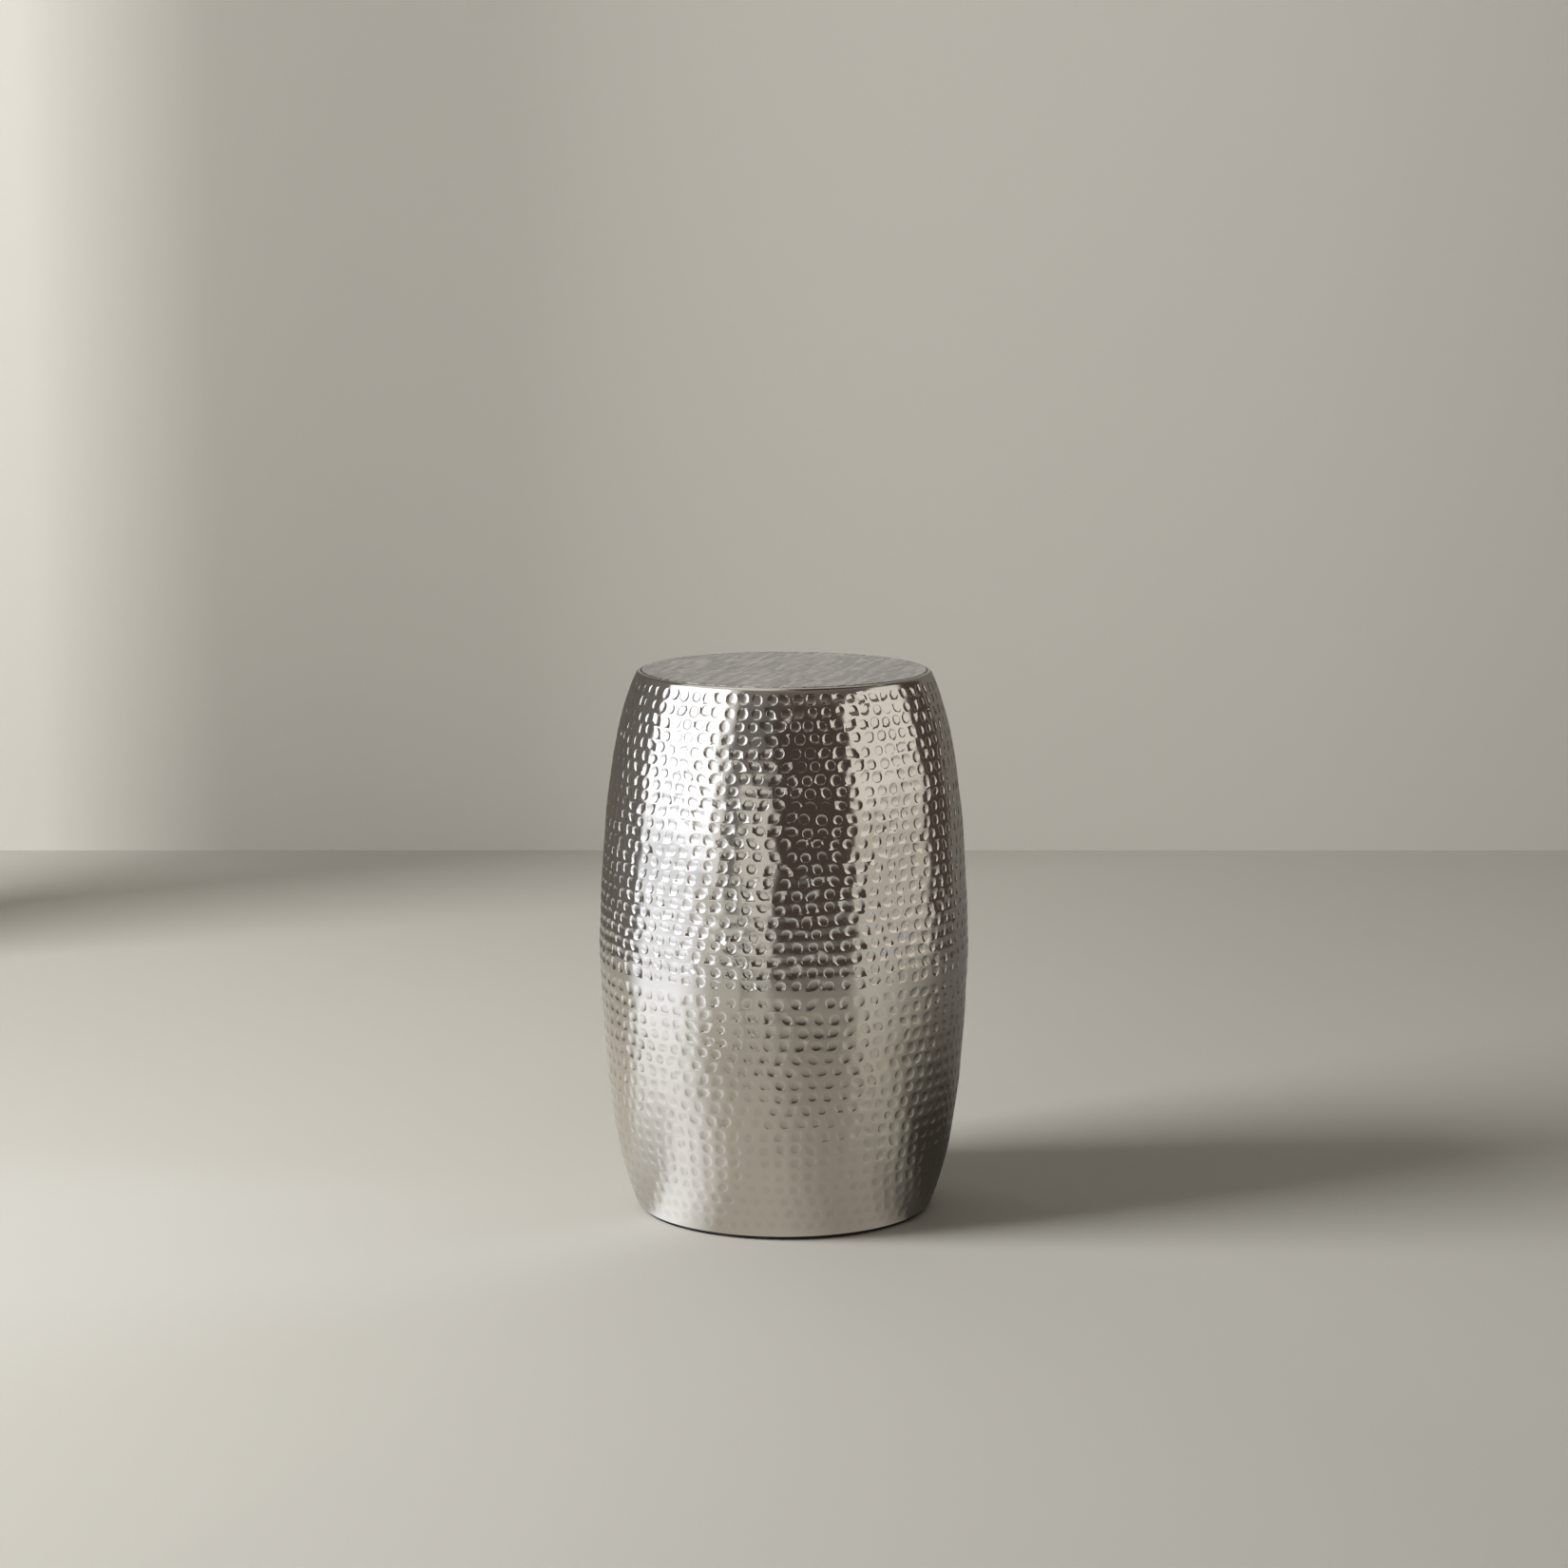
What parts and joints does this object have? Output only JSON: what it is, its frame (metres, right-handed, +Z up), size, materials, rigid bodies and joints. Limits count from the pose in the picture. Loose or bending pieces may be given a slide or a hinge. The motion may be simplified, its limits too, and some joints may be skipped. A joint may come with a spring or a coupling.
{
  "type": "drum side table",
  "caption": "Hollow barrel-shaped side table of hammered aluminium: two spun half shells welded at the belly, a flat planished top seated in the shoulder, a rubber ring under the foot.",
  "frame": {"origin": "on the floor under the drum's axis, at the centre of the rubber ring's underside", "axes": "+Z up along the drum's axis; the drum is round, so X and Y are level and free"},
  "size_m": [0.313, 0.313, 0.46],
  "materials": {
    "hammered_aluminium": "ball-peened and polished",
    "planished_aluminium": "planished, satin",
    "fibreboard": "raw",
    "galvanised_steel": "galvanised",
    "zinc_plated_steel": "zinc plated",
    "black_rubber": "matt"
  },
  "bodies": {
    "root": {"upper_shell": "hammered_aluminium", "lower_shell": "hammered_aluminium", "seam_weld": "hammered_aluminium", "top_plate": "planished_aluminium", "top_board": "fibreboard", "seat_ring": "galvanised_steel", "top_screws": "zinc_plated_steel", "screw_washers": "zinc_plated_steel", "floor_ring": "black_rubber"}
  },
  "joints": []
}
